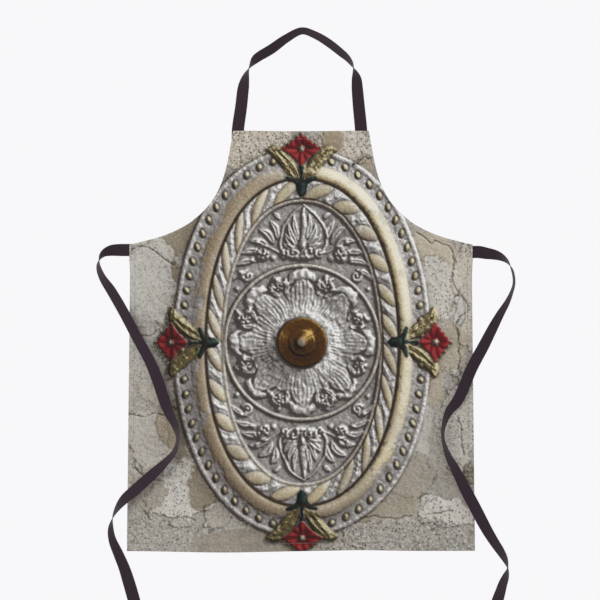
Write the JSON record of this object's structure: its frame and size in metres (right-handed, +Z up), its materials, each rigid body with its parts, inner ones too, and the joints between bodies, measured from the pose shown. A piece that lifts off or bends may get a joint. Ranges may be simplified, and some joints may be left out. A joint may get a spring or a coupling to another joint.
{
  "type": "bib apron hanging by its neck loop",
  "caption": "Bib apron with curved armholes, a printed front, turned hems, a neck tape sewn to the bib and a waist tie at each side, hanging by the neck loop.",
  "frame": {"origin": "seat of the neck loop: the underside of the loop's highest point, where a hook carries it", "axes": "+X to the right as seen from the front, +Y from the printed front to the back, +Z up"},
  "size_m": [0.8558, 0.0407, 1.2155],
  "materials": {
    "printed_cloth": "matte polyester twill, dye-printed on its face; the hems turn that face to the back",
    "woven_tape": "matte cotton twill tape",
    "pale_thread": "spun polyester sewing thread",
    "dark_thread": "spun polyester sewing thread"
  },
  "bodies": {
    "neck_loop": {"neck_strap": "woven_tape"},
    "apron": {"panel": "printed_cloth", "top_hem": "printed_cloth", "bottom_hem": "printed_cloth", "left_side_hem": "printed_cloth", "right_side_hem": "printed_cloth", "left_armhole_hem": "printed_cloth", "right_armhole_hem": "printed_cloth", "top_hem_stitching": "pale_thread", "bottom_hem_stitching": "pale_thread", "left_side_stitching": "pale_thread", "right_side_stitching": "pale_thread", "left_armhole_stitching": "pale_thread", "right_armhole_stitching": "pale_thread", "left_neck_tail": "woven_tape", "right_neck_tail": "woven_tape", "left_neck_box_stitch": "dark_thread", "right_neck_box_stitch": "dark_thread", "left_tie_tail": "woven_tape", "right_tie_tail": "woven_tape", "left_tie_box_stitch": "dark_thread", "right_tie_box_stitch": "dark_thread"},
    "left_waist_tie": {"left_tie": "woven_tape", "left_tie_tip": "woven_tape", "left_tip_stitching": "dark_thread"},
    "right_waist_tie": {"right_tie": "woven_tape", "right_tie_tip": "woven_tape", "right_tip_stitching": "dark_thread"}
  },
  "joints": [
    {"name": "bib_fold", "type": "hinge", "parent": "neck_loop", "child": "apron", "pos_m": [0, 0.0025, -0.197], "axis": [1, 0, 0], "range_deg": [-90, 90]},
    {"name": "left_tie_swing", "type": "hinge", "parent": "apron", "child": "left_waist_tie", "pos_m": [-0.35, 0.0025, -0.441], "axis": [0, 0, 1], "range_deg": [-150, 0]},
    {"name": "right_tie_swing", "type": "hinge", "parent": "apron", "child": "right_waist_tie", "pos_m": [0.35, 0.0025, -0.445], "axis": [0, 0, 1], "range_deg": [0, 150]}
  ]
}
